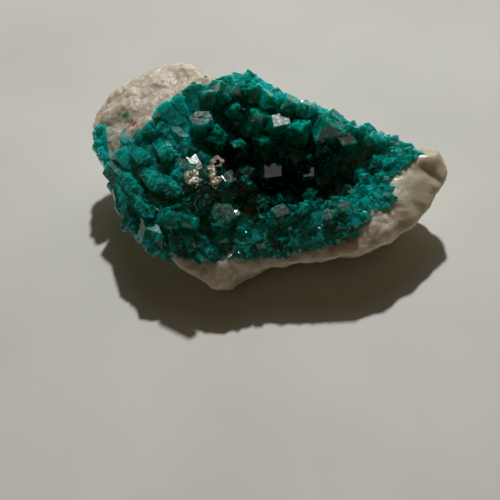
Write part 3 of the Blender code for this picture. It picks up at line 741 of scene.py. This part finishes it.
def toneFaces(shape):
    # the faces that come with the frame take their region's green
    chance = random.Random(dioptase["seed"])
    tone = shape.faces.layers.float.new("tone")
    clear = shape.faces.layers.float.new("clear")
    toneSpread = dioptase["bigToneSpread"]
    clearSpread = dioptase["bigClearSpread"]
    shape.normal_update()
    for face in shape.faces:
        middle = face.calc_center_median() / mm
        region = regionAt(middle)
        face[tone] = region["tone"] + dioptase["bigTone"] + chance.uniform(-toneSpread, toneSpread)
        face[clear] = region["clear"] + dioptase["bigClear"] + chance.uniform(-clearSpread, clearSpread)
        if face.normal.z > dioptase["levelUp"] and nearLevelFace(middle):
            face[clear] = dioptase["levelClear"]


def frostFaces(made):
    frost = made.data.attributes.new("frost", "FLOAT", "FACE")
    clear = made.data.attributes["clear"]
    for face, frosting, clearness in zip(made.data.polygons, frost.data, clear.data):
        for middle, reach, matt in dioptase["frostedFaces"]:
            near = (face.center - Vector(middle) * mm).length < reach * mm
            if near and face.normal.z > dioptase["frostedUp"]:
                frosting.value = matt
                clearness.value = dioptase["frostedClear"]


def dioptaseMaterial():
    # dioptase: deep green glassy crystal, dark where it is clear, blue-green where veils scatter, with bright
    # blue-green flecks painted on as glints
    material, tree = newMaterial("dioptase")
    place = addNode(tree, "ShaderNodeTexCoord").outputs["Object"]
    tone = addNode(tree, "ShaderNodeAttribute", attribute_name="tone").outputs["Fac"]
    clear = addNode(tree, "ShaderNodeAttribute", attribute_name="clear").outputs["Fac"]
    frost = addNode(tree, "ShaderNodeAttribute", attribute_name="frost").outputs["Fac"]
    veils = addNode(tree, "ShaderNodeTexNoise", {
        "Vector": place,
        "Scale": perMillimetre(dioptase["veilSize"]),
        "Detail": 4.0,
        "Roughness": 0.65,
        "Distortion": 1.4,
    })
    patchy = addNode(tree, "ShaderNodeMapRange", {
        "Value": veils.outputs["Fac"],
        "From Min": 0.3,
        "From Max": 0.7,
        "To Min": -dioptase["patchiness"],
        "To Max": dioptase["patchiness"],
    })
    varied = addNode(tree, "ShaderNodeMath", {0: tone, 1: patchy.outputs["Result"]}, use_clamp=True)
    green = addNode(tree, "ShaderNodeMix", {
        "Factor": varied.outputs["Value"],
        "A": linearColour(dioptase["deep"]),
        "B": linearColour(dioptase["teal"]),
    }, data_type="RGBA")
    veiled = addNode(tree, "ShaderNodeMapRange", {
        "Value": veils.outputs["Fac"],
        "From Min": 0.5,
        "From Max": 0.75,
        "To Max": dioptase["veilStrength"],
    })
    # flecks: painted glints, bright blue-green spots at the middles of some cells of a fine pattern, which also
    # make the crystal cloudier there
    flecks = addNode(tree, "ShaderNodeTexVoronoi", {
        "Vector": place, "Scale": perMillimetre(dioptase["glintFleckSize"]),
    })
    near = addNode(tree, "ShaderNodeMapRange", {
        "Value": flecks.outputs["Distance"],
        "From Min": dioptase["glintFleckRadius"][0],
        "From Max": dioptase["glintFleckRadius"][1],
        "To Min": 1.0,
        "To Max": 0.0,
    })
    few = addNode(tree, "ShaderNodeMapRange", {
        "Value": flecks.outputs["Color"],
        "From Min": dioptase["glintFleckShare"][0],
        "From Max": dioptase["glintFleckShare"][1],
    })
    fleck = addNode(tree, "ShaderNodeMath", {
        0: near.outputs["Result"], 1: few.outputs["Result"],
    }, operation="MULTIPLY")
    veilsAndGlints = addNode(tree, "ShaderNodeMath", {
        0: veiled.outputs["Result"], 1: fleck.outputs["Value"],
    }, operation="MAXIMUM")
    coloured = addNode(tree, "ShaderNodeMix", {
        "Factor": veilsAndGlints.outputs["Value"],
        "A": green.outputs["Result"],
        "B": linearColour(dioptase["veil"]),
    }, data_type="RGBA")
    thinner = addNode(tree, "ShaderNodeMath", {
        0: veilsAndGlints.outputs["Value"], 1: dioptase["veilHides"], 2: clear,
    }, operation="MULTIPLY_ADD")
    seeThrough = addNode(tree, "ShaderNodeMath", {
        0: patchy.outputs["Result"], 1: dioptase["patchHides"], 2: thinner.outputs["Value"],
    }, operation="MULTIPLY_ADD", use_clamp=True)
    # polished faces, and matt ones where they are worn
    polish = addNode(tree, "ShaderNodeMapRange", {
        "Value": veils.outputs["Fac"], "To Min": dioptase["polish"][0], "To Max": dioptase["polish"][1],
    })
    worn = addNode(tree, "ShaderNodeMapRange", {
        "Value": flecks.outputs["Distance"],
        "From Max": 0.6,
        "To Min": dioptase["worn"][0],
        "To Max": dioptase["worn"][1],
    })
    matt = addNode(tree, "ShaderNodeMath", {0: frost, 1: worn.outputs["Result"]}, operation="MULTIPLY")
    roughness = addNode(tree, "ShaderNodeMix", {
        "Factor": matt.outputs["Value"], "A": polish.outputs["Result"], "B": 1.0,
    })
    shader = addNode(tree, "ShaderNodeBsdfPrincipled", {
        "Base Color": coloured.outputs["Result"],
        "Roughness": roughness.outputs["Result"],
        "IOR": dioptase["ior"],
        "Transmission Weight": seeThrough.outputs["Value"],
        "Subsurface Weight": 1.0,
        "Subsurface Radius": dioptase["scatterRadius"],
        "Subsurface Scale": dioptase["scatterDepth"] * mm,
    })
    depth = addNode(tree, "ShaderNodeVolumeAbsorption", {
        "Color": (*dioptase["absorbColour"], 1.0), "Density": dioptase["absorbPerMetre"],
    })
    addNode(tree, "ShaderNodeOutputMaterial", {"Surface": shader.outputs[0], "Volume": depth.outputs[0]})
    return material


# The crack across the broken face on the left: a zigzag of bends, cut as a narrow groove
crack = {
    "bends": [(-11.2, 5.7), (-10.2, 4.9), (-9.5, 5.3), (-9.1, 4.5), (-7.6, 4.6)],
    "low": 16.4,
    "high": 18.4,
    "width": 0.3,
    "wallClear": 1.0,  # its walls are clear, so they look dark
}


def crackCutter():
    shape = bmesh.new()
    points = [shape.verts.new((x * mm, y * mm, crack["low"] * mm)) for x, y in crack["bends"]]
    edges = [shape.edges.new(pair) for pair in zip(points, points[1:])]
    wide = bmesh.ops.extrude_edge_only(shape, edges=edges)
    moved = [part for part in wide["geom"] if isinstance(part, bmesh.types.BMVert)]
    bmesh.ops.translate(shape, verts=moved, vec=(0, crack["width"] * mm, 0))
    tall = bmesh.ops.extrude_face_region(shape, geom=shape.faces[:])
    moved = [part for part in tall["geom"] if isinstance(part, bmesh.types.BMVert)]
    bmesh.ops.translate(shape, verts=moved, vec=(0, 0, (crack["high"] - crack["low"]) * mm))
    bmesh.ops.recalc_face_normals(shape, faces=shape.faces[:])
    clear = shape.faces.layers.float.new("clear")
    for face in shape.faces:
        face[clear] = crack["wallClear"]
    return newObject("crack", shape)


def makeCrust(material):
    shape = nodeShape("dioptase_crust")
    crustTree = BVHTree.FromBMesh(shape)
    stone = nodeShape("calcite_matrix")
    calciteTree = BVHTree.FromBMesh(stone)
    stone.free()
    grown = growCrystals(shape, calciteTree, crustTree)
    groups = sortApart(grown)
    print("small crystals on the crust:", len(grown), "in", len(groups), "groups")
    toneFaces(shape)
    crust = newObject("dioptaseCrust", shape)
    one = crystalShape(dioptase["lengthInRadii"])
    pattern = bpy.data.meshes.new("pattern")
    one.to_mesh(pattern)
    one.free()
    for group in groups:
        combine(crust, crystalGroup(group, pattern))
    bpy.data.meshes.remove(pattern)
    combine(crust, crackCutter(), "DIFFERENCE")
    frostFaces(crust)
    dress(crust, material, "dioptase_crust")


def makeSidePatch(material):
    shape = nodeShape("dioptase_side_patch")
    toneFaces(shape)
    dress(newObject("dioptaseSidePatch", shape), material, "dioptase_side_patch")


# The two small bits of calcite that sit on the crust

perched = {
    "meshSize": 0.13,
    "smoothing": 2,
    "chipSize": 0.7,
    "chipRelief": 0.45,
    "flatness": 0.6,
    "colour": "#c4b99a",
    "cloudSize": 0.9,
    "clear": (0.6, 1.0),
    "roughness": 0.35,
    "ior": 1.6,
}


def thinCalcite():
    # thin chips of calcite: pinkish beige, glassy enough for the green below to show
    material, tree = newMaterial("thinCalcite")
    place = addNode(tree, "ShaderNodeTexCoord").outputs["Object"]
    cloud = addNode(tree, "ShaderNodeTexNoise", {
        "Vector": place, "Scale": perMillimetre(perched["cloudSize"]), "Detail": 3.0,
    })
    clear = addNode(tree, "ShaderNodeMapRange", {
        "Value": cloud.outputs["Fac"],
        "From Min": 0.35,
        "From Max": 0.65,
        "To Min": perched["clear"][0],
        "To Max": perched["clear"][1],
    })
    shader = addNode(tree, "ShaderNodeBsdfPrincipled", {
        "Base Color": linearColour(perched["colour"]),
        "Roughness": perched["roughness"],
        "IOR": perched["ior"],
        "Transmission Weight": clear.outputs["Result"],
    })
    addNode(tree, "ShaderNodeOutputMaterial", {"Surface": shader.outputs[0]})
    return material


def makePerched():
    material = thinCalcite()
    for side in ("left", "right"):
        node = "perched_calcite_" + side
        made = newObject("perchedCalcite" + side.title(), nodeShape(node))
        shape = evenFaces(made, perched["meshSize"])
        for _ in range(perched["smoothing"]):
            smoothOnce(shape, shape.verts)
        shape.normal_update()
        for point in shape.verts:
            relief = noise.noise(point.co / mm / perched["chipSize"]) * perched["chipRelief"]
            point.co += point.normal * relief * mm
        low = min(point.co.z for point in shape.verts)
        for point in shape.verts:
            point.co.z = low + (point.co.z - low) * perched["flatness"]
        shape.to_mesh(made.data)
        shape.free()
        dress(made, material, node)


makeCamera()
makeLight()
makeFloor()
print("camera, light and floor ready")
makeCalcite()
greenCrystal = dioptaseMaterial()
makeCrust(greenCrystal)
makeSidePatch(greenCrystal)
makePerched()
